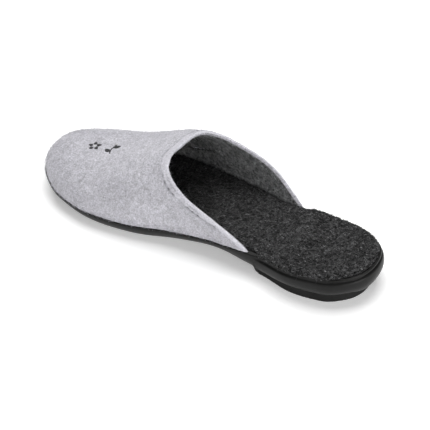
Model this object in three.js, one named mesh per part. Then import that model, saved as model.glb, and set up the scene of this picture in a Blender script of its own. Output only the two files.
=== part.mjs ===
// Felt slipper: a right-foot backless mule with a low wedge heel.
// Millimetres. +Y runs to the toe, +X to the wearer's right (the outer side), +Z up.
// The origin is on the floor, under the middle of the shoe's bounding box.
import * as THREE from 'three';
import { mergeVertices } from 'three/addons/utils/BufferGeometryUtils.js';

// ---- driving sizes ---------------------------------------------------------
const LENGTH = 252;        // heel rim to toe, along the sole's rim
const WALL = 3.4;          // felt and lining together
const GAP = 0.3;           // clearance where two pieces meet
const TRAY = 2.5;          // how far the sole's tray lies below its rim
const INSOLE_PROUD = 2.7;  // insole top above the rim
const RIM_HEEL = 2.2;      // rim width round the heel
const RIM_FORE = 4.2;      // rim width under the upper's wall
const BULGE_BACK = 2.2;    // the heel wall swells this far past the rim, at the back
const BULGE_SIDE = 0.7;    // and along its sides
const STEP_BACK = 1.8;     // the wall's lower edge lies this far inside the rim, at the back
const STEP_SIDE = 4.3;     // and along the sides
const BEVEL = 4.8;         // the tread edge lies this far inside the rim
const BREAST_LOW = 0.288;  // heel breast, foot and top, as fractions of LENGTH
const BREAST_TOP = 0.298;
const TOE_LEAN = 16.9;     // the ridge ends this far behind the toe
const RIDGE_X_BACK = -1.1; // the ridge's sideways place at the throat and at the toe
const RIDGE_X_TOE = -0.5;
const FULL_THROAT = 2.33;  // superellipse exponent of the upper's sections
const FULL_TOE = 2.5;
const CENTRE = { x: 1.949, y: 125.011 }; // middle of the bounding box, from the heel rim's middle

// Half widths of the rim either side of the straight line heel to toe.
// at: fraction of LENGTH from the heel.
const OUTLINE = [
  { at: 0.0, inner: 0.0, outer: 0.0 },
  { at: 0.03, inner: 20.1, outer: 20.6 },
  { at: 0.09, inner: 30.9, outer: 27.3 },
  { at: 0.18, inner: 34.2, outer: 30.0 },
  { at: 0.3, inner: 29.2, outer: 31.4 },
  { at: 0.42, inner: 28.8, outer: 38.0 },
  { at: 0.54, inner: 32.0, outer: 43.1 },
  { at: 0.66, inner: 39.3, outer: 46.6 },
  { at: 0.78, inner: 42.7, outer: 41.7 },
  { at: 0.88, inner: 37.9, outer: 34.2 },
  { at: 0.95, inner: 27.0, outer: 23.7 },
  { at: 0.985, inner: 15.6, outer: 13.8 },
  { at: 1.0, inner: 0.0, outer: 0.0 },
];
// Height of the rim's top face: heel height, waist, ball and toe spring.
const RIM = [
  { at: 0.0, z: 22.4 }, { at: 0.15, z: 20.8 }, { at: 0.3, z: 18.2 }, { at: 0.42, z: 15.4 },
  { at: 0.55, z: 12.6 }, { at: 0.7, z: 10.3 }, { at: 0.85, z: 11.2 }, { at: 1.0, z: 14.4 },
];
// Underside: edge is the height of the bevel's lower edge, mid the height of the tread.
const UNDER = [
  { at: 0.0, edge: 0.0, mid: 0.0 },
  { at: BREAST_LOW, edge: 0.0, mid: 0.0 },
  { at: BREAST_TOP, edge: 4.5, mid: 4.2 },
  { at: 0.335, edge: 5.9, mid: 5.5 },
  { at: 0.4, edge: 7.9, mid: 6.7 },
  { at: 0.5, edge: 5.4, mid: 3.9 },
  { at: 0.58, edge: 2.4, mid: 0.5 },
  { at: 0.61, edge: 1.6, mid: 0.0 },
  { at: 0.7, edge: 1.0, mid: 0.0 },
  { at: 0.78, edge: 1.9, mid: 0.0 },
  { at: 0.86, edge: 3.8, mid: 1.3 },
  { at: 0.93, edge: 5.3, mid: 3.6 },
  { at: 1.0, edge: 9.6, mid: 7.6 },
];
// Height of the stepped-in band under the heel's wall.
const BAND = [
  { at: 0.0, z: 6.2 }, { at: 0.08, z: 6.4 }, { at: 0.15, z: 6.3 }, { at: 0.2, z: 5.8 },
  { at: 0.25, z: 4.5 }, { at: BREAST_LOW, z: 4.2 },
];
// Height of the upper's ridge line above the floor.
const RIDGE = [
  { at: 0.35, z: 80.9 }, { at: 0.45, z: 69.3 }, { at: 0.55, z: 64.9 }, { at: 0.62, z: 58.2 },
  { at: 0.7, z: 46.4 }, { at: 0.78, z: 36.6 }, { at: 0.85, z: 32.0 }, { at: 0.9, z: 30.7 },
];
// Collar edge: turn runs up the section, from 0 at the inner side's rim over the ridge
// at 90 to 180 at the outer side's rim; at is where the edge crosses it.
const COLLAR = [
  { turn: 0, at: 0.312 }, { turn: 15, at: 0.428 }, { turn: 30, at: 0.509 },
  { turn: 45, at: 0.553 }, { turn: 60, at: 0.577 }, { turn: 75, at: 0.584 },
  { turn: 90, at: 0.577 }, { turn: 105, at: 0.574 }, { turn: 120, at: 0.561 },
  { turn: 135, at: 0.51 }, { turn: 150, at: 0.43 }, { turn: 165, at: 0.354 },
  { turn: 180, at: 0.281 },
];

const UPPER_ALONG = 34;  // facets along each side of the upper
const UPPER_ROUND = 15;  // facets from rim to ridge
const SOLE_ALONG = 42;   // facets along each side of sole and insole

// ---- helpers ---------------------------------------------------------------
// A smooth curve through rows, with no overshoot between them.
function curve(xs, ys) {
  const n = xs.length, h = [], d = [], m = [];
  for (let i = 0; i < n - 1; i++) { h.push(xs[i + 1] - xs[i]); d.push((ys[i + 1] - ys[i]) / h[i]); }
  for (let i = 1; i < n - 1; i++) {
    if (d[i - 1] * d[i] <= 0) { m[i] = 0; continue; }
    const a = 2 * h[i] + h[i - 1], b = h[i] + 2 * h[i - 1];
    m[i] = (a + b) / (a / d[i - 1] + b / d[i]);
  }
  const end = (h0, h1, d0, d1) => {
    let e = ((2 * h0 + h1) * d0 - h0 * d1) / (h0 + h1);
    if (Math.sign(e) !== Math.sign(d0)) e = 0;
    else if (Math.sign(d0) !== Math.sign(d1) && Math.abs(e) > 3 * Math.abs(d0)) e = 3 * d0;
    return e;
  };
  m[0] = end(h[0], h[1], d[0], d[1]);
  m[n - 1] = end(h[n - 2], h[n - 3], d[n - 2], d[n - 3]);
  return (x) => {
    x = Math.min(Math.max(x, xs[0]), xs[n - 1]);
    let i = 0;
    while (i < n - 2 && x > xs[i + 1]) i++;
    const t = (x - xs[i]) / h[i], t2 = t * t, t3 = t2 * t;
    return (2 * t3 - 3 * t2 + 1) * ys[i] + (t3 - 2 * t2 + t) * h[i] * m[i]
      + (3 * t2 - 2 * t3) * ys[i + 1] + (t3 - t2) * h[i] * m[i + 1];
  };
}
const column = (rows, key) => rows.map((r) => r[key]);
const clamp = (v, lo, hi) => Math.min(Math.max(v, lo), hi);
const lerp = (a, b, t) => a + (b - a) * t;
const smooth = (t) => { t = clamp(t, 0, 1); return t * t * (3 - 2 * t); };
// Round ends need stations crowded at heel and toe: an even step in this angle does that.
const angleOf = (at) => Math.acos(clamp(1 - 2 * at, -1, 1)) / Math.PI;
const atOf = (angle) => (1 - Math.cos(Math.PI * angle)) / 2;

const outlineAngles = column(OUTLINE, 'at').map(angleOf);
const halfWidth = {
  '-1': curve(outlineAngles, column(OUTLINE, 'inner')),
  '1': curve(outlineAngles, column(OUTLINE, 'outer')),
};
const rimZ = curve(column(RIM, 'at'), column(RIM, 'z'));
const ridgeZ = curve(column(RIDGE, 'at'), column(RIDGE, 'z'));
const edgeZ = curve(column(UNDER, 'at'), column(UNDER, 'edge'));
const midZ = curve(column(UNDER, 'at'), column(UNDER, 'mid'));
const collar = curve(column(COLLAR, 'turn'), column(COLLAR, 'at'));
const collarAt = { '-1': collar, '1': (turn) => collar(180 - turn) };

// A point on the rim outline, moved inwards by inset along the outline's normal.
function rimPoint(side, angle, inset) {
  const e = 1e-4, a0 = Math.max(angle - e, 0), a1 = Math.min(angle + e, 1);
  const x = side * halfWidth[side](angle), y = atOf(angle) * LENGTH;
  let dx = side * (halfWidth[side](a1) - halfWidth[side](a0));
  let dy = (atOf(a1) - atOf(a0)) * LENGTH;
  if (angle <= e || angle >= 1 - e) dy = 0;
  const l = Math.hypot(dx, dy);
  return [x - (side * dy / l) * inset, y + (side * dx / l) * inset];
}

// A point of the upper's outer skin: turn runs 0..PI/2 from rim to ridge.
function skin(side, angle, turn) {
  const at = atOf(angle);
  const f = clamp((at - 0.62) / 0.38, 0, 1);
  const atRidge = at - (TOE_LEAN / LENGTH) * f * f;
  const p = lerp(FULL_THROAT, FULL_TOE, f);
  const across = 1 - Math.pow(Math.max(Math.cos(turn), 0), 2 / p);
  const up = Math.pow(Math.max(Math.sin(turn), 0), 2 / p);
  const back = Math.sin(turn) ** 2;
  const x0 = side * halfWidth[side](angle);
  const x1 = lerp(RIDGE_X_BACK, RIDGE_X_TOE, clamp((atRidge - 0.5) / 0.4, 0, 1));
  const z0 = rimZ(at);
  return new THREE.Vector3(
    lerp(x0, x1, across), lerp(at, atRidge, back) * LENGTH, lerp(z0, ridgeZ(atRidge), up) + GAP);
}
// The lining side of the same point, one wall thickness in. The toe's middle line and
// the ridge belong to both sides, so both take them from the inner side's numbers.
function liningPoint(side, angle, turn) {
  const toe = angle === 1, ridge = turn === Math.PI / 2;
  if (toe || ridge) side = -1;
  const e = 1e-3, s = skin(side, angle, turn);
  const t0 = clamp(turn - (ridge ? 0.05 : e), 0, Math.PI / 2), t1 = clamp(turn + e, 0, Math.PI / 2);
  const a0 = Math.max(angle - e, 0), a1 = Math.min(angle + e, 1);
  const up = skin(side, angle, t1).sub(skin(side, angle, t0));
  const along = toe ? new THREE.Vector3(1, 0, 0) : skin(side, a1, turn).sub(skin(side, a0, turn));
  if (toe) up.x = 0;
  const n = up.cross(along).normalize().multiplyScalar(side);
  if (turn === 0) n.z = 0;
  if (toe || ridge) n.x = 0;
  const q = s.clone().addScaledVector(n.normalize(), WALL);
  const w = 1 - Math.pow(Math.sin(turn), 0.75);
  q.z += (rimZ(q.y / LENGTH) - rimZ(atOf(angle))) * w;
  return q;
}

// Triangles gathered by quads, welded into one closed mesh that faces outwards.
class Shell {
  constructor() { this.v = []; }
  tri(a, b, c) { for (const p of [a, b, c]) this.v.push(p.x, p.y, p.z); }
  quad(a, b, c, d) { this.tri(a, b, c); this.tri(a, c, d); }
  geometry() {
    const soup = new THREE.BufferGeometry();
    soup.setAttribute('position', new THREE.Float32BufferAttribute(this.v, 3));
    const g = mergeVertices(soup, 1e-3);
    const p = g.attributes.position, ix = Array.from(g.index.array), out = [];
    let volume = 0;
    const A = new THREE.Vector3(), B = new THREE.Vector3(), C = new THREE.Vector3();
    for (let i = 0; i < ix.length; i += 3) {
      const [a, b, c] = ix.slice(i, i + 3);
      if (a === b || b === c || a === c) continue;
      out.push(a, b, c);
      A.fromBufferAttribute(p, a); B.fromBufferAttribute(p, b); C.fromBufferAttribute(p, c);
      volume += A.dot(B.cross(C)) / 6;
    }
    if (volume < 0) for (let i = 0; i < out.length; i += 3) [out[i + 1], out[i + 2]] = [out[i + 2], out[i + 1]];
    g.setIndex(out);
    g.translate(-CENTRE.x, -CENTRE.y, 0);
    g.computeVertexNormals();
    return g;
  }
}

// ---- upper: one hollow felt shell, open at the collar, the heel and underneath ----
function upperGeometry() {
  const shell = new Shell();
  const grid = (fn, side) => {
    const rows = [];
    for (let j = 0; j <= UPPER_ROUND; j++) {
      const turn = j === UPPER_ROUND ? Math.PI / 2 : smooth(j / UPPER_ROUND) * Math.PI / 2;
      const start = angleOf(collarAt[side](turn * 180 / Math.PI));
      const row = [];
      for (let i = 0; i <= UPPER_ALONG; i++) row.push(fn(side, (i === UPPER_ALONG ? 1 : lerp(start, 1, i / UPPER_ALONG)), turn));
      rows.push(row);
    }
    return rows;
  };
  for (const side of [-1, 1]) {
    const out = grid(skin, side), inn = grid(liningPoint, side);
    const q = (a, b, c, d) => (side < 0 ? shell.quad(a, b, c, d) : shell.quad(a, d, c, b));
    for (let j = 0; j < UPPER_ROUND; j++) {
      for (let i = 0; i < UPPER_ALONG; i++) {
        q(out[j][i], out[j + 1][i], out[j + 1][i + 1], out[j][i + 1]);
        q(inn[j][i], inn[j][i + 1], inn[j + 1][i + 1], inn[j + 1][i]);
      }
      q(out[j][0], inn[j][0], inn[j + 1][0], out[j + 1][0]);       // collar edge
    }
    for (let i = 0; i < UPPER_ALONG; i++) q(out[0][i], out[0][i + 1], inn[0][i + 1], inn[0][i]); // lasting edge
  }
  return shell.geometry();
}

// ---- sole and insole: closed rings round the outline, capped across --------
const stations = (() => {
  const list = [angleOf(BREAST_LOW), angleOf(BREAST_TOP)];
  for (let i = 0; i <= SOLE_ALONG; i++) {
    const a = i / SOLE_ALONG, at = atOf(a);
    if (at > BREAST_LOW - 0.012 && at < BREAST_TOP + 0.012) continue;
    list.push(a);
  }
  return list.sort((a, b) => a - b);
})();

// rings: each a function of the station's fraction giving { inset, z(y) }.
function ringSolid(rings) {
  const shell = new Shell();
  const n = stations.length;
  const point = (ring, side, angle) => {
    const r = ring(atOf(angle));
    const [x, y] = rimPoint(side, angle, r.inset);
    return new THREE.Vector3(x, y, r.z(clamp(y / LENGTH, 0, 1)));
  };
  const loops = rings.map((ring) => ({
    '-1': stations.map((a) => point(ring, -1, a)),
    '1': stations.map((a) => point(ring, 1, a)),
  }));
  for (let k = 0; k < loops.length - 1; k++) {
    for (let i = 0; i < n - 1; i++) {
      const a = loops[k], b = loops[k + 1];
      shell.quad(a[-1][i], a[-1][i + 1], b[-1][i + 1], b[-1][i]);
      shell.quad(a[1][i + 1], a[1][i], b[1][i], b[1][i + 1]);
    }
  }
  const first = loops[0], last = loops[loops.length - 1];
  for (let i = 0; i < n - 1; i++) {
    shell.quad(first[-1][i + 1], first[-1][i], first[1][i], first[1][i + 1]);
    shell.quad(last[-1][i], last[-1][i + 1], last[1][i + 1], last[1][i]);
  }
  return shell.geometry();
}
const rimWidth = (at) => lerp(RIM_HEEL, RIM_FORE, smooth((at - 0.17) / 0.09));
const heelness = (at) => 1 - smooth((at - 0.26) / 0.09);
const bandZ = curve(column(BAND, 'at'), column(BAND, 'z'));
// the wall's lower edge: the heel's step, and further forward a lip over the bevel
const stepZ = (at) => (at <= BREAST_LOW + 1e-6 ? bandZ(at) : edgeZ(at) + 0.5);

function soleGeometry() {
  // down: how far down the wall, from 0 under the rim to 1 at its lower edge
  const wall = (down) => (at) => {
    const bulge = lerp(BULGE_BACK, BULGE_SIDE, smooth(at / 0.14));
    const step = lerp(STEP_BACK, STEP_SIDE, smooth(at / 0.025));
    const heel = step * down ** 3 - bulge * Math.sin(Math.PI * down);
    return {
      inset: lerp(0.88 * BEVEL * down ** 1.75, heel, heelness(at)),
      z: (y) => lerp(rimZ(y) - 0.7, stepZ(at), down),
    };
  };
  return ringSolid([
    (at) => ({ inset: rimWidth(at), z: (y) => rimZ(y) - TRAY }),
    (at) => ({ inset: rimWidth(at), z: (y) => rimZ(y) }),
    () => ({ inset: 0.6, z: (y) => rimZ(y) }),
    () => ({ inset: 0.0, z: (y) => rimZ(y) - 0.7 }),
    wall(0.2), wall(0.4), wall(0.6), wall(0.8), wall(1.0),
    (at) => ({ inset: BEVEL - 0.15, z: () => stepZ(at) - 0.25 }),
    (at) => ({ inset: BEVEL, z: () => edgeZ(at) }),
    (at) => ({ inset: 9.5, z: (y) => (at <= BREAST_LOW + 1e-6 ? 0 : midZ(at > 0.9 ? y : at)) }),
  ]);
}

function insoleGeometry() {
  const ring = (more, z) => (at) => ({ inset: rimWidth(at) + GAP + more, z: (y) => rimZ(y) + z });
  return ringSolid([
    ring(9.0, INSOLE_PROUD - 0.35),
    ring(1.8, INSOLE_PROUD),
    ring(0.5, INSOLE_PROUD - 0.5),
    ring(0.0, INSOLE_PROUD - 1.5),
    ring(0.0, GAP - TRAY + 0.6),
    ring(0.6, GAP - TRAY),
  ]);
}

// ---- the slipper -----------------------------------------------------------
const slipper = new THREE.Group();
function add(name, geometry, color, roughness) {
  const mesh = new THREE.Mesh(geometry, new THREE.MeshStandardMaterial({ color, roughness, metalness: 0 }));
  mesh.name = name;
  slipper.add(mesh);
}
add('upper', upperGeometry(), 0xbdbcc4, 0.95);
add('insole', insoleGeometry(), 0x3a3b3d, 1.0);
add('sole', soleGeometry(), 0x2b2b2c, 0.45);

export default slipper;
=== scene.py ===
"""Felt slipper: the looks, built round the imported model."""
import math

import bpy
import numpy as np
from mathutils import Matrix, Vector
from mathutils.bvhtree import BVHTree


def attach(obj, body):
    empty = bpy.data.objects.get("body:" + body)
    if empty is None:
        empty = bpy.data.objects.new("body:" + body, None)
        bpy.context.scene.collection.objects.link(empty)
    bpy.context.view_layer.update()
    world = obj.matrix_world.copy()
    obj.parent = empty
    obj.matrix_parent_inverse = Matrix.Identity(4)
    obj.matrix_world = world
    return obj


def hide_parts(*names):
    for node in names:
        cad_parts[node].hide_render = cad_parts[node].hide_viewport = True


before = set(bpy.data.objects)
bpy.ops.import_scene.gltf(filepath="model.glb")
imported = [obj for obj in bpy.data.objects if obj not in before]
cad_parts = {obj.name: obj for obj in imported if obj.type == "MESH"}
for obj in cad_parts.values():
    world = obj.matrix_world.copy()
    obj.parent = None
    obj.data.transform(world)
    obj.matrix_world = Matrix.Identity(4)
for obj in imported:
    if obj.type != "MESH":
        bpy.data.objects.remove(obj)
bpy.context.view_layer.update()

# ---- sizes in millimetres, the same as the solids' -------------------------
LENGTH = 252.0
WALL = 3.4
GAP = 0.3
TRAY = 2.5
INSOLE_PROUD = 2.7
RIM_HEEL, RIM_FORE = 2.2, 4.2
BULGE_BACK, BULGE_SIDE = 2.2, 0.7
STEP_BACK, STEP_SIDE = 1.8, 4.3
BEVEL = 4.8
BREAST_LOW, BREAST_TOP = 0.288, 0.298
TOE_LEAN = 16.9
RIDGE_X_BACK, RIDGE_X_TOE = -1.1, -0.5
FULL_THROAT, FULL_TOE = 2.33, 2.5
CENTRE = np.array([1.949, 125.011, 0.0])

# fraction of the length from the heel, half width inner side, half width outer side
OUTLINE = np.array([
    (0.0, 0.0, 0.0), (0.03, 20.1, 20.6), (0.09, 30.9, 27.3), (0.18, 34.2, 30.0),
    (0.3, 29.2, 31.4), (0.42, 28.8, 38.0), (0.54, 32.0, 43.1), (0.66, 39.3, 46.6),
    (0.78, 42.7, 41.7), (0.88, 37.9, 34.2), (0.95, 27.0, 23.7), (0.985, 15.6, 13.8),
    (1.0, 0.0, 0.0)])
# fraction of the length, height of the rim
RIM = np.array([(0.0, 22.4), (0.15, 20.8), (0.3, 18.2), (0.42, 15.4), (0.55, 12.6),
                (0.7, 10.3), (0.85, 11.2), (1.0, 14.4)])
# fraction of the length, height of the bevel's lower edge, height of the tread
UNDER = np.array([
    (0.0, 0.0, 0.0), (BREAST_LOW, 0.0, 0.0), (BREAST_TOP, 4.5, 4.2), (0.335, 5.9, 5.5), (0.4, 7.9, 6.7),
    (0.5, 5.4, 3.9), (0.58, 2.4, 0.5), (0.61, 1.6, 0.0), (0.7, 1.0, 0.0),
    (0.78, 1.9, 0.0), (0.86, 3.8, 1.3), (0.93, 5.3, 3.6), (1.0, 9.6, 7.6)])
# fraction of the length, height of the stepped-in band under the heel's wall
BAND = np.array([(0.0, 6.2), (0.08, 6.4), (0.15, 6.3), (0.2, 5.8), (0.25, 4.5), (BREAST_LOW, 4.2)])
# fraction of the length, height of the upper's ridge
RIDGE = np.array([(0.35, 80.9), (0.45, 69.3), (0.55, 64.9), (0.62, 58.2), (0.7, 46.4),
                  (0.78, 36.6), (0.85, 32.0), (0.9, 30.7)])
# turn up the section in degrees, 0 at the inner rim over the ridge at 90 to 180 at the
# outer rim, and the fraction of the length where the collar edge crosses it
COLLAR = np.array([
    (0, 0.312), (15, 0.428), (30, 0.509), (45, 0.553), (60, 0.577), (75, 0.584),
    (90, 0.577), (105, 0.574), (120, 0.561), (135, 0.51), (150, 0.43), (165, 0.354),
    (180, 0.281)])


# ---- shape functions -------------------------------------------------------
def curve(xs, ys):
    xs, ys = np.asarray(xs, float), np.asarray(ys, float)
    h, d = np.diff(xs), np.diff(ys) / np.diff(xs)
    m = np.zeros(len(xs))
    for i in range(1, len(xs) - 1):
        if d[i - 1] * d[i] > 0:
            a, b = 2 * h[i] + h[i - 1], h[i] + 2 * h[i - 1]
            m[i] = (a + b) / (a / d[i - 1] + b / d[i])

    def end(h0, h1, d0, d1):
        e = ((2 * h0 + h1) * d0 - h0 * d1) / (h0 + h1)
        if np.sign(e) != np.sign(d0):
            return 0.0
        if np.sign(d0) != np.sign(d1) and abs(e) > 3 * abs(d0):
            return 3 * d0
        return e

    m[0], m[-1] = end(h[0], h[1], d[0], d[1]), end(h[-1], h[-2], d[-1], d[-2])

    def f(x):
        x = np.clip(np.asarray(x, float), xs[0], xs[-1])
        i = np.clip(np.searchsorted(xs, x, side="left") - 1, 0, len(h) - 1)
        t = (x - xs[i]) / h[i]
        t2, t3 = t * t, t * t * t
        return ((2 * t3 - 3 * t2 + 1) * ys[i] + (t3 - 2 * t2 + t) * h[i] * m[i]
                + (3 * t2 - 2 * t3) * ys[i + 1] + (t3 - t2) * h[i] * m[i + 1])
    return f


def lerp(a, b, t):
    return a + (b - a) * t


def smooth(t):
    t = np.clip(t, 0, 1)
    return t * t * (3 - 2 * t)


def angle_of(at):
    return np.arccos(np.clip(1 - 2 * np.asarray(at, float), -1, 1)) / math.pi


def at_of(angle):
    return (1 - np.cos(math.pi * np.asarray(angle, float))) / 2


HALF = {-1: curve(angle_of(OUTLINE[:, 0]), OUTLINE[:, 1]),
        1: curve(angle_of(OUTLINE[:, 0]), OUTLINE[:, 2])}
rim_z = curve(RIM[:, 0], RIM[:, 1])
ridge_z = curve(RIDGE[:, 0], RIDGE[:, 1])
edge_z = curve(UNDER[:, 0], UNDER[:, 1])
mid_z = curve(UNDER[:, 0], UNDER[:, 2])
band_z = curve(BAND[:, 0], BAND[:, 1])
collar_at = curve(COLLAR[:, 0], COLLAR[:, 1])
COLLAR_AT = {-1: collar_at, 1: lambda turn: collar_at(180 - np.asarray(turn, float))}


def rim_point(side, angle, inset):
    """x, y of the rim outline moved inwards by inset."""
    angle = np.asarray(angle, float)
    e = 1e-4
    a0, a1 = np.maximum(angle - e, 0), np.minimum(angle + e, 1)
    dx = side * (HALF[side](a1) - HALF[side](a0))
    dy = (at_of(a1) - at_of(a0)) * LENGTH
    dy = np.where((angle <= e) | (angle >= 1 - e), 0.0, dy)
    l = np.hypot(dx, dy)
    return (side * HALF[side](angle) - side * dy / l * inset,
            at_of(angle) * LENGTH + side * dx / l * inset)


def skin(side, angle, turn):
    """The upper's outer skin; turn runs 0..pi/2 from the rim to the ridge."""
    angle, turn = np.broadcast_arrays(np.asarray(angle, float), np.asarray(turn, float))
    at = at_of(angle)
    f = np.clip((at - 0.62) / 0.38, 0, 1)
    ridge_at = at - TOE_LEAN / LENGTH * f * f
    p = lerp(FULL_THROAT, FULL_TOE, f)
    across = 1 - np.maximum(np.cos(turn), 0) ** (2 / p)
    up = np.maximum(np.sin(turn), 0) ** (2 / p)
    back = np.sin(turn) ** 2
    x1 = lerp(RIDGE_X_BACK, RIDGE_X_TOE, np.clip((ridge_at - 0.5) / 0.4, 0, 1))
    return np.stack([lerp(side * HALF[side](angle), x1, across),
                     lerp(at, ridge_at, back) * LENGTH,
                     lerp(rim_z(at), ridge_z(ridge_at), up) + GAP], -1)


def skin_normal(side, angle, turn):
    """Outward normal of the skin."""
    angle, turn = np.broadcast_arrays(np.asarray(angle, float), np.asarray(turn, float))
    e = 2e-3
    ridge, toe = turn > math.pi / 2 - 1e-6, angle > 1 - 1e-6
    t0 = np.clip(turn - np.where(ridge, 0.05, e), 0, math.pi / 2)
    t1 = np.clip(turn + e, 0, math.pi / 2)
    a0, a1 = np.maximum(angle - e, 0), np.minimum(angle + e, 1)
    up = skin(side, angle, t1) - skin(side, angle, t0)
    along = skin(side, a1, turn) - skin(side, a0, turn)
    up[..., 0] = np.where(toe, 0, up[..., 0])
    along = np.where(toe[..., None], np.array([-side, 0.0, 0.0]), along)
    n = -side * np.cross(up, along)
    n[..., 2] = np.where(turn < 1e-9, 0, n[..., 2])
    n[..., 0] = np.where(toe | ridge, 0, n[..., 0])
    return n / np.maximum(np.linalg.norm(n, axis=-1, keepdims=True), 1e-12)


# ---- noise on points, in millimetres, seeded -------------------------------
def _hash(ix, iy, iz, seed):
    n = (ix * 374761393 + iy * 668265263 + iz * 2147483647 + seed * 974634777) & 0xFFFFFFFF
    n = ((n ^ (n >> 13)) * 1274126177) & 0xFFFFFFFF
    n = ((n ^ (n >> 16)) * 2246822519) & 0xFFFFFFFF
    return ((n ^ (n >> 13)) & 0xFFFFFF) / float(0xFFFFFF)


def vnoise(p, size, seed=0):
    """Smooth noise in -1..1 with blobs about size mm across."""
    q = np.asarray(p, float) / size + 137.0
    i = np.floor(q).astype(np.int64)
    f = q - i
    f = f * f * f * (f * (f * 6 - 15) + 10)
    out = 0.0
    for dx in (0, 1):
        for dy in (0, 1):
            for dz in (0, 1):
                w = ((f[..., 0] if dx else 1 - f[..., 0]) * (f[..., 1] if dy else 1 - f[..., 1])
                     * (f[..., 2] if dz else 1 - f[..., 2]))
                out = out + w * _hash(i[..., 0] + dx, i[..., 1] + dy, i[..., 2] + dz, seed)
    return out * 2 - 1


def fbm(p, size, octaves=3, seed=0):
    out, amp, total = 0.0, 1.0, 0.0
    for k in range(octaves):
        out = out + amp * vnoise(p, size / 2 ** k, seed + 17 * k)
        total += amp
        amp *= 0.55
    return out / total


# ---- mesh helpers ----------------------------------------------------------
def make(name, verts_mm, faces, mats, mat_index=None, attrs=None, smooth_shade=True):
    """A mesh object from arrays: verts in mm from the heel, faces as rows of 3 or 4."""
    v = (np.asarray(verts_mm, float) - CENTRE) / 1000.0
    me = bpy.data.meshes.new(name)
    groups = [np.asarray(f, np.int64) for f in (faces if isinstance(faces, list) else [faces])]
    loops = np.concatenate([g.reshape(-1) for g in groups])
    counts = np.concatenate([np.full(len(g), g.shape[1]) for g in groups])
    starts = np.concatenate([[0], np.cumsum(counts)[:-1]])
    me.vertices.add(len(v))
    me.vertices.foreach_set("co", v.astype(np.float32).reshape(-1))
    me.loops.add(len(loops))
    me.loops.foreach_set("vertex_index", loops.astype(np.int32))
    me.polygons.add(len(counts))
    me.polygons.foreach_set("loop_start", starts.astype(np.int32))
    for m in mats:
        me.materials.append(m)
    if mat_index is not None:
        me.polygons.foreach_set("material_index", np.asarray(mat_index, np.int32))
    me.update(calc_edges=True)
    me.validate()
    me.polygons.foreach_set("use_smooth", np.full(len(me.polygons), smooth_shade))
    for key, values in (attrs or {}).items():
        a = me.attributes.new(key, "FLOAT", "POINT")
        a.data.foreach_set("value", np.asarray(values, np.float32))
    me.update()
    o = bpy.data.objects.new(name, me)
    bpy.context.scene.collection.objects.link(o)
    return o


def grid_faces(index, flip=False):
    """Quads over a 2-D array of vertex numbers."""
    a, b, c, d = index[:-1, :-1], index[1:, :-1], index[1:, 1:], index[:-1, 1:]
    q = np.stack([a, b, c, d], -1).reshape(-1, 4)
    return q[:, ::-1] if flip else q


def weld(verts, faces, tol=1e-3, extra=None):
    """Merges points that fall together and drops collapsed faces; quads may become triangles."""
    key = np.round(verts / tol).astype(np.int64)
    _, first, inv = np.unique(key, axis=0, return_index=True, return_inverse=True)
    inv = inv.reshape(-1)
    f = inv[faces]
    same = (f == np.roll(f, -1, axis=1))
    quads = f[~same.any(1)]
    tri_rows = f[same.sum(1) == 1]
    tris = []
    for r, s in zip(tri_rows, same[same.sum(1) == 1]):
        tris.append([r[k] for k in range(4) if not s[k]])
    out = [quads] + ([np.array(tris)] if tris else [])
    return verts[first], out, first


def nearest_on(line, pts, chunk=4000):
    """Distance of each point to a polyline, and the length along it there."""
    seg0, seg1 = line[:-1], line[1:]
    d = seg1 - seg0
    ll = (d ** 2).sum(1)
    cum = np.concatenate([[0], np.cumsum(np.sqrt(ll))])
    dist, along = np.empty(len(pts)), np.empty(len(pts))
    for k in range(0, len(pts), chunk):
        p = pts[k:k + chunk, None, :]
        t = np.clip(((p - seg0) * d).sum(-1) / ll, 0, 1)
        q = seg0 + t[..., None] * d
        r = np.linalg.norm(p - q, axis=-1)
        j = r.argmin(1)
        i = np.arange(len(j))
        dist[k:k + chunk] = r[i, j]
        along[k:k + chunk] = cum[j] + t[i, j] * np.sqrt(ll[j])
    return dist, along


def spindles(roots, dirs, bend, length, radius, rings):
    """Thin closed fibres, pointed at both ends: roots, dirs, bend (n,3), mm."""
    n = len(roots)
    dirs = dirs / np.linalg.norm(dirs, axis=1, keepdims=True)
    bend = bend - (bend * dirs).sum(1, keepdims=True) * dirs
    side = np.cross(dirs, bend + 1e-6)
    side /= np.maximum(np.linalg.norm(side, axis=1, keepdims=True), 1e-9)
    third = np.cross(dirs, side)
    t = np.linspace(0, 1, rings + 2)
    verts = []
    for k, tk in enumerate(t):
        c = roots + dirs * (length * tk)[:, None] + bend * (length * tk * tk)[:, None]
        if k in (0, rings + 1):
            verts.append(c[:, None, :])
        else:
            w = radius * (1 - abs(2 * tk - 1) ** 3)
            ring = [c + (side * math.cos(a) + third * math.sin(a)) * w[:, None]
                    for a in (0, 2 * math.pi / 3, 4 * math.pi / 3)]
            verts.append(np.stack(ring, 1))
    V = np.concatenate(verts, 1)
    per = V.shape[1]
    tri = []
    for k in range(3):
        tri.append((0, 1 + (k + 1) % 3, 1 + k))
        for r in range(rings - 1):
            a, b = 1 + 3 * r + k, 1 + 3 * r + (k + 1) % 3
            tri += [(a, b, b + 3), (a, b + 3, a + 3)]
        a = 1 + 3 * (rings - 1)
        tri.append((a + k, a + (k + 1) % 3, per - 1))
    F = (np.array(tri)[None] + (np.arange(n) * per)[:, None, None]).reshape(-1, 3)
    return V.reshape(-1, 3), F


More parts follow.
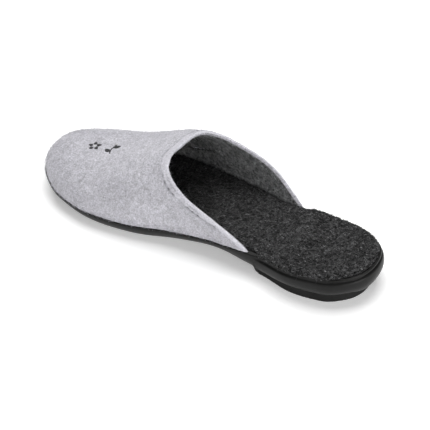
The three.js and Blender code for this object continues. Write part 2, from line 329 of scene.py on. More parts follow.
# ---- materials -------------------------------------------------------------
class Mat:
    def __init__(self, name):
        self.m = bpy.data.materials.new(name)
        self.m.use_nodes = True
        self.t = self.m.node_tree
        self.t.nodes.clear()
        self.out = self.t.nodes.new("ShaderNodeOutputMaterial")
        self.b = self.t.nodes.new("ShaderNodeBsdfPrincipled")
        self.t.links.new(self.b.outputs[0], self.out.inputs[0])
        self.co = self.t.nodes.new("ShaderNodeTexCoord").outputs["Object"]

    def link(self, a, b):
        self.t.links.new(a, b)

    def noise(self, per_m, detail=3.0, rough=0.6, distortion=0.0, vec=None, stretch=None):
        n = self.t.nodes.new("ShaderNodeTexNoise")
        n.inputs["Scale"].default_value = per_m
        n.inputs["Detail"].default_value = detail
        n.inputs["Roughness"].default_value = rough
        n.inputs["Distortion"].default_value = distortion
        v = vec or self.co
        if stretch:
            mp = self.t.nodes.new("ShaderNodeMapping")
            mp.inputs["Rotation"].default_value = stretch[0]
            mp.inputs["Scale"].default_value = stretch[1]
            self.link(v, mp.inputs["Vector"])
            v = mp.outputs[0]
        self.link(v, n.inputs["Vector"])
        return n.outputs["Fac"]

    def ramp(self, fac, stops):
        r = self.t.nodes.new("ShaderNodeValToRGB")
        e = r.color_ramp.elements
        e[0].position, e[0].color = stops[0][0], (*stops[0][1], 1)
        e[1].position, e[1].color = stops[-1][0], (*stops[-1][1], 1)
        for pos, col in stops[1:-1]:
            n = e.new(pos)
            n.color = (*col, 1)
        self.link(fac, r.inputs[0])
        return r.outputs[0]

    def span(self, fac, lo, hi, to_lo=0.0, to_hi=1.0):
        r = self.t.nodes.new("ShaderNodeMapRange")
        r.inputs[1].default_value, r.inputs[2].default_value = lo, hi
        r.inputs[3].default_value, r.inputs[4].default_value = to_lo, to_hi
        self.link(fac, r.inputs[0])
        return r.outputs[0]

    def math(self, op, a, b=None):
        n = self.t.nodes.new("ShaderNodeMath")
        n.operation = op
        for i, v in enumerate((a, b)):
            if v is None:
                continue
            if isinstance(v, (int, float)):
                n.inputs[i].default_value = v
            else:
                self.link(v, n.inputs[i])
        return n.outputs[0]

    def mix(self, fac, a, b, mode="MIX"):
        n = self.t.nodes.new("ShaderNodeMix")
        n.data_type = "RGBA"
        n.blend_type = mode
        for sock, v in ((n.inputs[0], fac), (n.inputs[6], a), (n.inputs[7], b)):
            if isinstance(v, (int, float)):
                sock.default_value = v
            elif isinstance(v, tuple):
                sock.default_value = (*v, 1)
            else:
                self.link(v, sock)
        return n.outputs[2]

    def grey(self, value):
        n = self.t.nodes.new("ShaderNodeCombineXYZ")
        for i in range(3):
            self.link(value, n.inputs[i])
        return n.outputs[0]

    def attr(self, name):
        n = self.t.nodes.new("ShaderNodeAttribute")
        n.attribute_name = name
        return n.outputs["Fac"]

    def shade(self, lo, hi, to_lo, to_hi):
        """A grey of painted light and shade that changes along the shoe, from y = lo to y = hi in metres."""
        n = self.t.nodes.new("ShaderNodeSeparateXYZ")
        self.link(self.co, n.inputs[0])
        return self.grey(self.span(n.outputs[1], lo, hi, to_lo, to_hi))

    def bump(self, height, strength, distance, normal=None):
        n = self.t.nodes.new("ShaderNodeBump")
        n.inputs["Strength"].default_value = strength
        n.inputs["Distance"].default_value = distance
        self.link(height, n.inputs["Height"])
        if normal is not None:
            self.link(normal, n.inputs["Normal"])
        return n.outputs[0]


def felt_grey():
    k = Mat("grey_felt")
    b = k.b
    patches = k.noise(95, 3, 0.55)                       # soft clouds, 8 to 10 mm
    mottle = k.noise(230, 3, 0.6, 0.4)                   # blots, 4 mm
    fleck = k.noise(470, 3, 0.65, 0.6)                   # specks of darker wool, 2 mm
    grain = k.noise(1050, 2, 0.6, 0.3)                   # the nap's salt and pepper, under 1 mm
    f1 = k.noise(900, 3, 0.7, 1.2, stretch=((0.4, 0.3, 0.5), (1.0, 0.22, 1.0)))
    f2 = k.noise(900, 3, 0.7, 1.2, stretch=((0.2, 0.5, 2.0), (1.0, 0.22, 1.0)))
    f3 = k.noise(900, 3, 0.7, 1.2, stretch=((1.2, 0.1, 3.4), (0.25, 1.0, 1.0)))
    hair = k.noise(650, 2, 0.6, 1.6, stretch=((0.3, 0.2, 1.1), (1.0, 0.16, 1.0)))
    fibre = k.math("MAXIMUM", k.math("MAXIMUM", f1, f2), f3)
    smudge = k.noise(290, 2, 0.55, 0.9)                  # grey smears of darker wool, 3 to 5 mm
    base = k.ramp(patches, [(0.3, (0.545, 0.537, 0.582)), (0.7, (0.612, 0.604, 0.650))])
    base = k.mix(k.span(smudge, 0.57, 0.70, 0.0, 0.34), base, (0.33, 0.327, 0.352))
    tone = k.math("MULTIPLY", k.span(mottle, 0.3, 0.7, 0.90, 1.10), k.span(fleck, 0.3, 0.7, 0.84, 1.16))
    tone = k.math("MULTIPLY", tone, k.span(grain, 0.3, 0.7, 0.70, 1.30))
    col = k.mix(1.0, base, k.grey(tone), "MULTIPLY")
    col = k.mix(k.span(fleck, 0.60, 0.72, 0.0, 0.45), col, (0.23, 0.228, 0.25))
    col = k.mix(k.span(hair, 0.635, 0.70, 0.0, 0.55), col, (0.20, 0.198, 0.22))
    col = k.mix(k.span(fibre, 0.62, 0.78, 0.0, 0.5), col, (0.76, 0.76, 0.80))
    # the folded collar band is painted lighter, a painted highlight on its rolled face, and its stitch pits are painted
    # dark as painted shade
    hem = k.attr("hem")
    pale = k.math("MULTIPLY", hem, k.span(fleck, 0.35, 0.6, 0.62, 0.25))
    col = k.mix(pale, col, (0.88, 0.87, 0.93))
    col = k.mix(k.math("MULTIPLY", k.attr("pit"), 0.68), col, (0.10, 0.099, 0.108))
    k.link(col, b.inputs["Base Color"])
    b.inputs["Roughness"].default_value = 0.95
    b.inputs["Specular IOR Level"].default_value = 0.15
    b.inputs["Sheen Weight"].default_value = 0.25
    b.inputs["Sheen Roughness"].default_value = 0.45
    h = k.math("ADD", k.math("MULTIPLY", fibre, 0.8), k.math("MULTIPLY", k.math("ADD", fleck, grain), 0.6))
    k.link(k.bump(h, 0.8, 0.001), b.inputs["Normal"])
    return k.m


def felt_lining():
    k = Mat("charcoal_lining")
    b = k.b
    patches = k.noise(110, 4, 0.6, 0.5)
    fleck = k.noise(520, 4, 0.75, 0.8)
    f1 = k.noise(700, 3, 0.7, 1.5, stretch=((0.4, 0.3, 0.5), (1.0, 0.25, 1.0)))
    f2 = k.noise(700, 3, 0.7, 1.5, stretch=((0.2, 0.5, 2.0), (1.0, 0.25, 1.0)))
    fibre = k.math("MAXIMUM", f1, f2)
    base = k.ramp(patches, [(0.3, (0.115, 0.116, 0.118)), (0.7, (0.20, 0.204, 0.206))])
    col = k.mix(k.span(fleck, 0.53, 0.70, 0.0, 0.7), base, (0.36, 0.363, 0.37))
    col = k.mix(k.span(fibre, 0.60, 0.75, 0.0, 0.7), col, (0.40, 0.40, 0.405))
    col = k.mix(k.span(fleck, 0.45, 0.32, 0.0, 0.7), col, (0.05, 0.05, 0.051))
    smear = k.noise(260, 4, 0.7, 1.2)
    salt = k.noise(800, 3, 0.7, 1.0)
    tone = k.math("MULTIPLY", k.span(smear, 0.34, 0.66, 0.35, 1.75), k.span(salt, 0.34, 0.66, 0.5, 1.55))
    col = k.mix(1.0, col, k.grey(tone), "MULTIPLY")
    # painted light and shade: the lining is lighter towards the heel end, where light falls in, and darker further in
    col = k.mix(1.0, col, k.shade(-0.028, 0.020, 1.30, 0.90), "MULTIPLY")
    # painted shade: the lining's creases and its fold are darkened towards black
    col = k.mix(k.math("MULTIPLY", k.attr("crease"), 0.75), col, (0.012, 0.012, 0.012))
    k.link(col, b.inputs["Base Color"])
    b.inputs["Roughness"].default_value = 1.0
    b.inputs["Specular IOR Level"].default_value = 0.1
    b.inputs["Sheen Weight"].default_value = 0.12
    h = k.math("ADD", fibre, k.math("MULTIPLY", fleck, 0.8))
    k.link(k.bump(h, 0.7, 0.001), b.inputs["Normal"])
    return k.m


def felt_insole():
    k = Mat("charcoal_felt")
    b = k.b
    fleck = k.noise(760, 4, 0.75, 0.9)
    clump = k.noise(300, 3, 0.6, 1.2)
    loose = k.noise(1000, 2, 0.6, 1.4, stretch=((0.3, 0.2, 0.9), (1.0, 0.4, 1.0)))
    base = k.ramp(clump, [(0.38, (0.005, 0.005, 0.0052)), (0.62, (0.031, 0.031, 0.0315))])
    col = k.mix(k.span(fleck, 0.53, 0.64, 0.0, 0.85), base, (0.165, 0.165, 0.167))
    col = k.mix(k.span(fleck, 0.47, 0.38, 0.0, 0.9), col, (0.003, 0.003, 0.003))
    # painted light and shade on the pile: lighter on its peaks, darker in its hollows
    peak = k.attr("peak")
    col = k.mix(k.span(peak, 0.25, 1.0, 0.0, 0.4), col, (0.15, 0.15, 0.152))
    col = k.mix(k.span(peak, 0.0, -0.9, 0.0, 0.85), col, (0.004, 0.004, 0.004))
    col = k.mix(k.span(loose, 0.62, 0.70, 0.0, 0.85), col, (0.30, 0.30, 0.305))
    # painted shade: darker further in under the upper than at the open heel
    col = k.mix(1.0, col, k.shade(-0.055, 0.005, 1.0, 0.64), "MULTIPLY")
    k.link(col, b.inputs["Base Color"])
    b.inputs["Roughness"].default_value = 1.0
    b.inputs["Specular IOR Level"].default_value = 0.1
    b.inputs["Sheen Weight"].default_value = 0.1
    k.link(k.bump(k.math("ADD", fleck, clump), 0.8, 0.0012), b.inputs["Normal"])
    return k.m


def plain_fibre(name, lo, hi, rough=0.9):
    k = Mat(name)
    tone = k.noise(140, 2, 0.5)
    k.link(k.ramp(tone, [(0.3, lo), (0.7, hi)]), k.b.inputs["Base Color"])
    k.b.inputs["Roughness"].default_value = rough
    k.b.inputs["Specular IOR Level"].default_value = 0.2
    return k.m


def sole_black():
    k = Mat("black_sole")
    b = k.b
    cloud = k.noise(60, 4, 0.6)
    grain = k.noise(2200, 3, 0.6)
    scuff = k.noise(240, 4, 0.7, 1.0, stretch=((0, 0, 0.3), (1.0, 0.3, 1.6)))
    col = k.ramp(cloud, [(0.3, (0.0075, 0.0075, 0.0072)), (0.7, (0.011, 0.011, 0.0106))])
    col = k.mix(k.span(scuff, 0.62, 0.8, 0.0, 0.3), col, (0.03, 0.03, 0.0295))
    k.link(col, b.inputs["Base Color"])
    k.link(k.math("ADD", k.span(cloud, 0.3, 0.7, 0.33, 0.41), k.span(scuff, 0.55, 0.8, 0.0, 0.12)), b.inputs["Roughness"])
    b.inputs["Specular IOR Level"].default_value = 0.17
    k.link(k.bump(grain, 0.12, 0.0004), b.inputs["Normal"])
    return k.m


def sole_matt():
    """The band, bevel and tread of the same unit: cut and worn dull."""
    k = Mat("black_sole_matt")
    b = k.b
    cloud = k.noise(80, 4, 0.6)
    grit = k.noise(900, 3, 0.65)
    col = k.ramp(cloud, [(0.3, (0.016, 0.016, 0.0156)), (0.7, (0.024, 0.024, 0.0234))])
    col = k.mix(k.span(grit, 0.6, 0.8, 0.0, 0.35), col, (0.022, 0.022, 0.021))
    k.link(col, b.inputs["Base Color"])
    k.link(k.span(grit, 0.3, 0.7, 0.62, 0.8), b.inputs["Roughness"])
    b.inputs["Specular IOR Level"].default_value = 0.1
    k.link(k.bump(grit, 0.2, 0.0004), b.inputs["Normal"])
    return k.m


def thread(name, colour, rough=0.6):
    k = Mat(name)
    twist = k.noise(1800, 2, 0.6, stretch=((0, 0, 0.6), (1, 0.4, 1)))
    dark = tuple(c * 0.72 for c in colour)
    k.link(k.ramp(twist, [(0.35, dark), (0.65, colour)]), k.b.inputs["Base Color"])
    k.b.inputs["Roughness"].default_value = rough
    k.b.inputs["Sheen Weight"].default_value = 0.1
    k.link(k.bump(twist, 0.4, 0.0003), k.b.inputs["Normal"])
    return k.m


M_FELT, M_LINING, M_INSOLE = felt_grey(), felt_lining(), felt_insole()
M_SOLE, M_TREAD = sole_black(), sole_matt()
M_THREAD = thread("stitch_thread", (0.56, 0.555, 0.60))

# ---- upper -----------------------------------------------------------------
FELT = 3.1           # the grey felt's own thickness
STITCH = 4.1         # pitch of the hem's outer row of stitches
STITCH_IN = 2.3      # pitch of the fine row beside the edge
# folds: from x, y to x, y, half width, depth
FOLDS = ((-31, 168, 18, 176, 3.6, 0.34), (-26, 181, 4, 187, 3.0, 0.24), (-8, 161, 30, 166, 3.2, 0.26),
         (-30, 132, -20, 158, 3.4, 0.28), (22, 128, 32, 150, 3.4, 0.25))


def collar_line(n=400):
    """The collar edge from the inner tip over the throat to the outer tip."""
    turn = smooth(np.linspace(0, 1, n)) * math.pi / 2
    a = skin(-1, angle_of(COLLAR_AT[-1](np.degrees(turn))), turn)
    b = skin(1, angle_of(COLLAR_AT[1](np.degrees(turn))), turn)
    return np.concatenate([a, b[-2::-1]])


EDGE = collar_line()
# a fold low in the outer wall's lining, from the toe end back
LINING_FOLD = np.array([(45.0, 179.0, 19.6), (45.2, 172.2, 21.9), (45.6, 166.2, 22.6), (45.2, 160.2, 24.3),
                        (44.3, 153.6, 26.7), (43.2, 148.2, 29.3), (42.6, 143.0, 30.6)])[::-1]
EDGE_LENGTH = float(np.linalg.norm(np.diff(EDGE, axis=0), axis=1).sum())
# distance along the edge from the inner tip, width of the folded hem
hem_width = curve([0, 15, 26, 38, 50, 66, 100, EDGE_LENGTH - 60, EDGE_LENGTH - 38, EDGE_LENGTH - 20,
                   EDGE_LENGTH],
                  [2.2, 2.5, 3.0, 4.1, 4.4, 5.6, 5.2, 5.2, 4.2, 3.0, 2.4])


def along_ends(along, reach=8.0, start=20.0):
    """1 along the hem, fading out before both of its tips."""
    return smooth((along - start) / reach) * smooth((EDGE_LENGTH - start - along) / reach)


def upper_grid(nu, nv):
    """Grids of angle and turn for both sides, crowded near the collar edge."""
    out = {}
    for side in (-1, 1):
        turn = smooth(np.linspace(0, 1, nv + 1)) * math.pi / 2
        turn[-1] = math.pi / 2
        start = angle_of(COLLAR_AT[side](np.degrees(turn)))
        u = np.linspace(0, 1, nu + 1)
        u = 0.25 * u + 0.75 * u ** 1.6
        angle = start[:, None] + (1 - start[:, None]) * u[None]
        angle[:, -1] = 1.0
        out[side] = (angle, np.repeat(turn[:, None], nu + 1, 1))
    return out


def outer_lift(p, d, along):
    """How far the felt's outer face stands off the plain skin, in mm, with hem and pits."""
    h = hem_width(along)
    ends = along_ends(along)
    plain = 1 - 0.75 * smooth((along - 0.29 * EDGE_LENGTH) / 20)   # the stitches sink out of sight past the throat
    rough = smooth((along - 18) / 20) * (1 - smooth((along - 95) / 30))
    wander = 0.45 * vnoise(p, 7, 12) + 0.2 * vnoise(p, 2.5, 19)
    hem = smooth((h + 0.6 + wander - d) / 2.2)
    beat = 0.5 + 0.5 * np.cos(2 * math.pi * (along + 1.1 * vnoise(p, 11, 13)) / STITCH)
    beat = smooth(1.6 * beat - 0.35)
    uneven = np.clip(0.75 + 1.6 * vnoise(p, 7.5, 14), 0.0, 1.6) * plain * (1 + 0.35 * rough)
    pit = np.exp(-((d - h - wander) / 0.5) ** 2) * beat * uneven * ends
    beat_in = 0.5 + 0.5 * np.cos(2 * math.pi * (along + 0.5 * vnoise(p, 6, 18)) / STITCH_IN)
    pit_in = np.exp(-((d - 2.1 - 0.6 * wander) / 0.42) ** 2) * beat_in ** 2 * uneven * ends * 0.55
    lift = 0.10 * hem - 0.05 * np.exp(-((d - h - wander) / 0.8) ** 2) * ends * plain - 0.75 * pit - 0.4 * pit_in
    tuft = 0.24 * vnoise(p, 1.3, 16) + 0.2 * vnoise(p, 2.4, 17)
    lift = lift + tuft * rough * np.exp(-((d - h + 0.3) / 1.5) ** 2)
    lift = lift + 0.14 * np.exp(-((d - h * 0.55) / 1.4) ** 2) * (0.5 + 0.5 * vnoise(p, 3.4, 15))
    lift = lift + 0.22 * fbm(p, 26, 2, 3) + 0.14 * fbm(p, 7, 2, 5) + 0.10 * vnoise(p, 1.7, 8)
    # the hem's painted highlight grows towards both tips of the collar
    tip = smooth((55 - along) / 45) + smooth((along - EDGE_LENGTH + 40) / 35)
    return lift, np.clip(hem * (0.75 + 0.75 * tip), 0, 1.5), np.clip(pit + pit_in, 0, 1)


def flex(p):
    """Wear folds in the shoe's own sizes: soft troughs over the toe joints and
    beside the throat, each a line from a to b with its width and depth in mm."""
    out = 0.0
    for ax, ay, bx, by, width, depth in FOLDS:
        d = np.array([bx - ax, by - ay])
        ll = float(d @ d)
        t = ((p[..., 0] - ax) * d[0] + (p[..., 1] - ay) * d[1]) / ll
        off = ((p[..., 0] - ax) * -d[1] + (p[..., 1] - ay) * d[0]) / math.sqrt(ll)
        off = off - 3.0 * (t - 0.5) ** 2 * np.sign(bx - ax)
        end = smooth((t + 0.12) / 0.25) * smooth((1.12 - t) / 0.25)
        out = out + end * depth * (-np.exp(-(off / width) ** 2)
                                   + 0.5 * np.exp(-((off - 1.9 * width) / width) ** 2)
                                   + 0.5 * np.exp(-((off + 1.9 * width) / width) ** 2))
    return out


def felt_depth(d):
    """Depth of the felt's outer and inner faces below the skin, closing in at the rolled edge."""
    r = FELT / 2
    t = np.clip(1 - d / (r + 0.2), 0, 1)
    roll = 1 - np.sqrt(1 - t * t)
    return roll * r, FELT * (1 - roll) + roll * r, roll


def build_upper(nu=236, nv=150, nu_in=54):
    V, F, hemA, pitA, base = [], [], [], [], 0
    for side in (-1, 1):
        edge_rows = []
        for face, n_along in (("outer", nu), ("inner", nu_in)):
            angle, turn = upper_grid(n_along, nv)[side]
            s = skin(side, angle, turn)
            n = skin_normal(side, angle, turn)
            d, along = (q.reshape(angle.shape) for q in nearest_on(EDGE, s.reshape(-1, 3)))
            d[:, 0] = 0.0
            d_out, d_in, roll = felt_depth(d)
            base_fade = smooth((s[..., 2] - GAP - rim_z(s[..., 1] / LENGTH)) / 1.5)
            hem = pit = np.zeros(angle.shape)
            if face == "outer":
                lift, hem, pit = outer_lift(s, d, along)
                lift = lift + flex(s) * smooth((d - 4) / 8)
                off = (lift - 0.3) * smooth(0.35 + d / 1.2) * (1 - roll) * (0.4 + 0.6 * base_fade) - d_out
                # the cut lower edge turns in a little over the sole's rim, and is ragged
                low = np.exp(-(turn / 0.07) ** 2)
                off = off + low * (-0.35 + 0.16 * vnoise(s, 2.2, 21) + 0.14 * vnoise(s, 1.0, 22)) * (1 - roll)
            else:
                off = -d_in + 0.1 * fbm(s, 18, 2, 31) * (1 - roll)
            off[:, 0] = -FELT / 2
            p = s + n * off[..., None]
            # the rolled edge is a little ragged; both faces move alike there
            a0 = angle[:, :1]
            lead = skin(side, a0, turn[:, :1]) - skin(side, a0 + 1e-3, turn[:, :1])
            lead /= np.linalg.norm(lead, axis=-1, keepdims=True)
            fray = 0.30 * vnoise(s, 1.9, 61) + 0.20 * vnoise(s, 0.95, 62)
            p = p + lead * (fray * np.exp(-(d / 1.6) ** 2))[..., None]
            # down onto the rim
            ragged = 0.2 * vnoise(s, 1.9, 24) + 0.16 * vnoise(s, 0.9, 25) if face == "outer" else 0.0
            p[..., 2] -= (1 - base_fade) * (0.1 + ragged)
            if face == "inner":
                w = 1 - np.sin(turn) ** 0.75
                p[..., 2] += (rim_z(p[..., 1] / LENGTH) - rim_z(at_of(angle))) * w
            idx = np.arange(p.shape[0] * p.shape[1]).reshape(p.shape[:2]) + base
            V.append(p.reshape(-1, 3))
            hemA.append(hem.reshape(-1))
            pitA.append(pit.reshape(-1))
            F.append(grid_faces(idx, (side > 0) == (face == "outer")))
            base += idx.size
            edge_rows.append((idx[0], angle[0]))
        # the foot of the wall: fine outer row to coarse inner row, in triangles
        (ro, ao), (ri, ai) = edge_rows
        i = j = 0
        tris = []
        while i < len(ro) - 1 or j < len(ri) - 1:
            if j == len(ri) - 1 or (i < len(ro) - 1 and ao[i + 1] <= ai[j + 1]):
                tris.append((ro[i], ro[i + 1], ri[j], ri[j]))
                i += 1
            else:
                tris.append((ro[i], ri[j + 1], ri[j], ri[j]))
                j += 1
        tris = np.array(tris)
        F.append(tris if side < 0 else tris[:, [0, 2, 1, 1]])
    V, F = np.concatenate(V), np.concatenate(F)
    hemA, pitA = np.concatenate(hemA), np.concatenate(pitA)
    V2, F2, first = weld(V, F, 2e-3)
    return make("upper_felt", V2, F2, [M_FELT], attrs={"hem": hemA[first], "pit": pitA[first]})


def build_lining(nu=150, nv=110, thick=0.55):
    """The charcoal lining: a thin felt sheet inside the wall, its edge just under the rolled rim."""
    grids = upper_grid(nu, nv)
    V, F, CR, base = [], [], [], 0
    for side in (-1, 1):
        angle, turn = grids[side]
        a0 = angle[:, :1]
        # move the first column inwards from the edge by start_mm along the row
        s0 = skin(side, angle, turn)
        step = np.linalg.norm(np.diff(s0, axis=1), axis=2)
        cum = np.concatenate([np.zeros((len(step), 1)), np.cumsum(step, 1)], 1)
        d, _ = nearest_on(EDGE, s0.reshape(-1, 3))
        d = d.reshape(angle.shape)
        rows = []
        starts = 1.25 + 1.9 * smooth((np.degrees(turn[:, 0]) - 50) / 22)
        for r in range(angle.shape[0]):
            start_mm = starts[r]
            k = np.searchsorted(d[r], start_mm)
            k = max(1, min(k, angle.shape[1] - 2))
            f = (start_mm - d[r, k - 1]) / max(d[r, k] - d[r, k - 1], 1e-6)
            a_start = lerp(angle[r, k - 1], angle[r, k], np.clip(f, 0, 1))
            u = np.linspace(0, 1, nu + 1)
            u = 0.4 * u + 0.6 * u ** 1.5
            rows.append(a_start + (1 - a_start) * u)
        angle = np.array(rows)
        angle[:, -1] = 1.0
        s = skin(side, angle, turn)
        n = skin_normal(side, angle, turn)
        d, along = nearest_on(EDGE, s.reshape(-1, 3))
        d = d.reshape(angle.shape)
        seat = felt_depth(d)[1] - 0.3
        lump = 0.2 * fbm(s, 9, 2, 41) + 0.12 * vnoise(s, 1.8, 44)
        # the folded hem's inner edge shows through as a step round the throat
        line = d - 10.0 - 1.3 * vnoise(s, 30, 47) - 0.3 * vnoise(s, 3, 48)
        throat = smooth((np.degrees(turn) - (34 if side > 0 else 62)) / 16)
        crease = 0.7 * np.exp(-(line / 0.9) ** 2) * throat
        if side > 0:
            near, run = nearest_on(LINING_FOLD, s.reshape(-1, 3))
            near, run = near.reshape(angle.shape), run.reshape(angle.shape)
            near = near + 0.25 * vnoise(s, 2.6, 49)
            slot = np.exp(-(near / 0.95) ** 2) * smooth((run - 0.5) / 7) * (1 - 0.75 * smooth((run - 20) / 18))
            crease = np.maximum(crease, slot)
        fold = 0.45 * smooth(-line / 1.2 + 0.5) * throat
        edge = smooth((d - starts[:, None]) / 0.8)
        CR.append(np.clip(crease / 0.7, 0, 1.2).reshape(-1))
        CR.append(CR[-1])
        top = seat + 0.3 + (thick + lump + fold) * (0.3 + 0.7 * edge) - crease * 0.7
        w = 1 - np.sin(turn) ** 0.75
        layers = []
        for depth in (seat, top):
            p = s - n * depth[..., None]
            p[..., 2] += (rim_z(p[..., 1] / LENGTH) - rim_z(at_of(angle))) * w
            layers.append(p)
        ids = []
        for k, p in enumerate(layers):
            idx = np.arange(p.shape[0] * p.shape[1]).reshape(p.shape[:2]) + base
            V.append(p.reshape(-1, 3))
            F.append(grid_faces(idx, (side < 0) if k else (side > 0)))
            ids.append(idx)
            base += idx.size
        F.append(grid_faces(np.stack([ids[0][0], ids[1][0]]), side > 0))
        F.append(grid_faces(np.stack([ids[0][:, 0], ids[1][:, 0]]), side < 0))
    V2, F2, first = weld(np.concatenate(V), np.concatenate(F), 2e-3)
    return make("upper_lining", V2, F2, [M_LINING], attrs={"crease": np.concatenate(CR)[first]})


upper = build_upper()
lining = build_lining()
for o in (upper, lining):
    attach(o, "root")
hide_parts("upper")
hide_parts("upper")


# ---- collar stitches -------------------------------------------------------
def build_stitches():
    """Short threads along the hem's stitch line, each sunk at both ends."""
    pts, nrm = [], []
    for side in (-1, 1):
        turn = smooth(np.linspace(0, 1, 500)) * math.pi / 2
        start = angle_of(COLLAR_AT[side](np.degrees(turn)))
        best = []
        for t, a0 in zip(turn, start):
            a = a0 + np.linspace(0, 0.12, 60)
            a = a[a <= 1]
            s = skin(side, a, np.full(a.shape, t))
            d, _a = nearest_on(EDGE, s)
            w = hem_width(_a)
            k = int(np.argmax(d >= w))
            if k == 0:
                continue
            w = w[k]
            f = (w - d[k - 1]) / (d[k] - d[k - 1])
            aa = lerp(a[k - 1], a[k], f)
            best.append((skin(side, aa, t), skin_normal(side, aa, t)))
        P = np.array([b[0] for b in best]).reshape(-1, 3)
        N = np.array([b[1] for b in best]).reshape(-1, 3)
        if side > 0:
            P, N = P[::-1], N[::-1]
        pts.append(P); nrm.append(N)
    P, N = np.concatenate(pts), np.concatenate(nrm)
    _, along = nearest_on(EDGE, P)
    order = np.argsort(along)
    P, N, along = P[order], N[order], along[order]
    keep = np.concatenate([[True], np.diff(along) > 1e-4])
    P, N, along = P[keep], N[keep], along[keep]
    V, F, base = [], [], 0
    total = along[-1]
    for k in range(int(24 / STITCH), int((total - 24) / STITCH)):
        mid = (k + 0.5) * STITCH
        ts = np.linspace(-1, 1, 9)
        at = mid + ts * STITCH * 0.40
        c = np.stack([np.interp(at, along, P[:, i]) for i in range(3)], 1)
        n = np.stack([np.interp(at, along, N[:, i]) for i in range(3)], 1)
        n /= np.linalg.norm(n, axis=1, keepdims=True)
        c = c + n * (-0.12 - 0.6 * np.abs(ts) ** 3)[:, None]
        tan = np.gradient(c, axis=0)
        tan /= np.linalg.norm(tan, axis=1, keepdims=True)
        sd = np.cross(tan, n)
        r = 0.24 * np.sqrt(np.clip(1 - np.abs(ts) ** 6, 0.02, 1))
        ring = []
        for a in np.linspace(0, 2 * math.pi, 8, endpoint=False):
            ring.append(c + (sd * math.cos(a) + n * math.sin(a)) * r[:, None])
        R = np.stack(ring, 1)
        m = R.shape[0] * 8
        idx = np.arange(m).reshape(R.shape[0], 8) + base
        idx2 = np.concatenate([idx, idx[:, :1]], 1)
        V.append(R.reshape(-1, 3))
        V.append(np.array([c[0], c[-1]]))
        F.append(grid_faces(idx2, True))
        caps = []
        for j in range(8):
            caps.append((base + m, idx2[0, j], idx2[0, j + 1], idx2[0, j + 1]))
            caps.append((base + m + 1, idx2[-1, j + 1], idx2[-1, j], idx2[-1, j]))
        F.append(np.array(caps))
        base += m + 2
    V, F = np.concatenate(V), np.concatenate(F)
    V2, F2, _ = weld(V, F, 1e-4)
    return make("collar_stitches", V2, F2, [M_THREAD])


stitches = build_stitches()
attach(stitches, "root")


# ---- stitched motif on the toe ---------------------------------------------
# a five-petalled flower and a two-leaved sprig, in thread, placed by x and y from the heel
FLOWER = (-1.5, 216.5)
SPRIG = (-1.0, 201.5)


def on_top():
    me = upper.data
    tree = BVHTree.FromPolygons([v.co[:] for v in me.vertices], [tuple(q.vertices) for q in me.polygons])

    def at(xy):
        p, n = [], []
        for x, y in np.asarray(xy, float).reshape(-1, 2):
            hit = tree.ray_cast(Vector(((x - CENTRE[0]) / 1000, (y - CENTRE[1]) / 1000, 0.2)), Vector((0, 0, -1)))
            p.append(np.array(hit[0]) * 1000 + CENTRE)
            n.append(np.array(hit[1]))
        return np.array(p), np.array(n)
    return at


def laid_threads(at, lines, radius, arch=0.2, steps=9, sides=6):
    """Threads laid on the felt between pairs of points, their ends drawn into it."""
    t = np.linspace(0, 1, steps)
    V, F, base = [], [], 0
    for a, b in lines:
        a, b = np.asarray(a, float), np.asarray(b, float)
        ends = np.stack([a, (a + b) / 2, b])
        p, n = at(ends)
        mid = p[1]
        c = np.stack([(1 - u) ** 2 * p[0] + 2 * u * (1 - u) * (2 * mid - (p[0] + p[2]) / 2) + u * u * p[2] for u in t])
        nn = n.mean(0)
        nn /= np.linalg.norm(nn)
        c = c + nn * (arch * np.sin(math.pi * t) + radius * 0.35 - 0.75 * np.abs(2 * t - 1) ** 5)[:, None]
        tan = np.gradient(c, axis=0)
        tan /= np.linalg.norm(tan, axis=1, keepdims=True)
        sd = np.cross(tan, nn)
        sd /= np.linalg.norm(sd, axis=1, keepdims=True)
        up = np.cross(sd, tan)
        ang = np.arange(sides) * 2 * math.pi / sides
        R = c[:, None] + radius * (sd[:, None] * np.cos(ang)[None, :, None] + up[:, None] * np.sin(ang)[None, :, None])
        idx = np.arange(steps * sides).reshape(steps, sides) + base
        idx2 = np.concatenate([idx, idx[:, :1]], 1)
        V += [R.reshape(-1, 3), c[[0, -1]]]
        F.append(grid_faces(idx2, True))
        e = base + steps * sides
        F.append(np.array([(e, idx2[0, j], idx2[0, j + 1], idx2[0, j + 1]) for j in range(sides)]
                          + [(e + 1, idx2[-1, j + 1], idx2[-1, j], idx2[-1, j]) for j in range(sides)]))
        base += steps * sides + 2
    V2, F2, _ = weld(np.concatenate(V), np.concatenate(F), 1e-4)
    return V2, F2


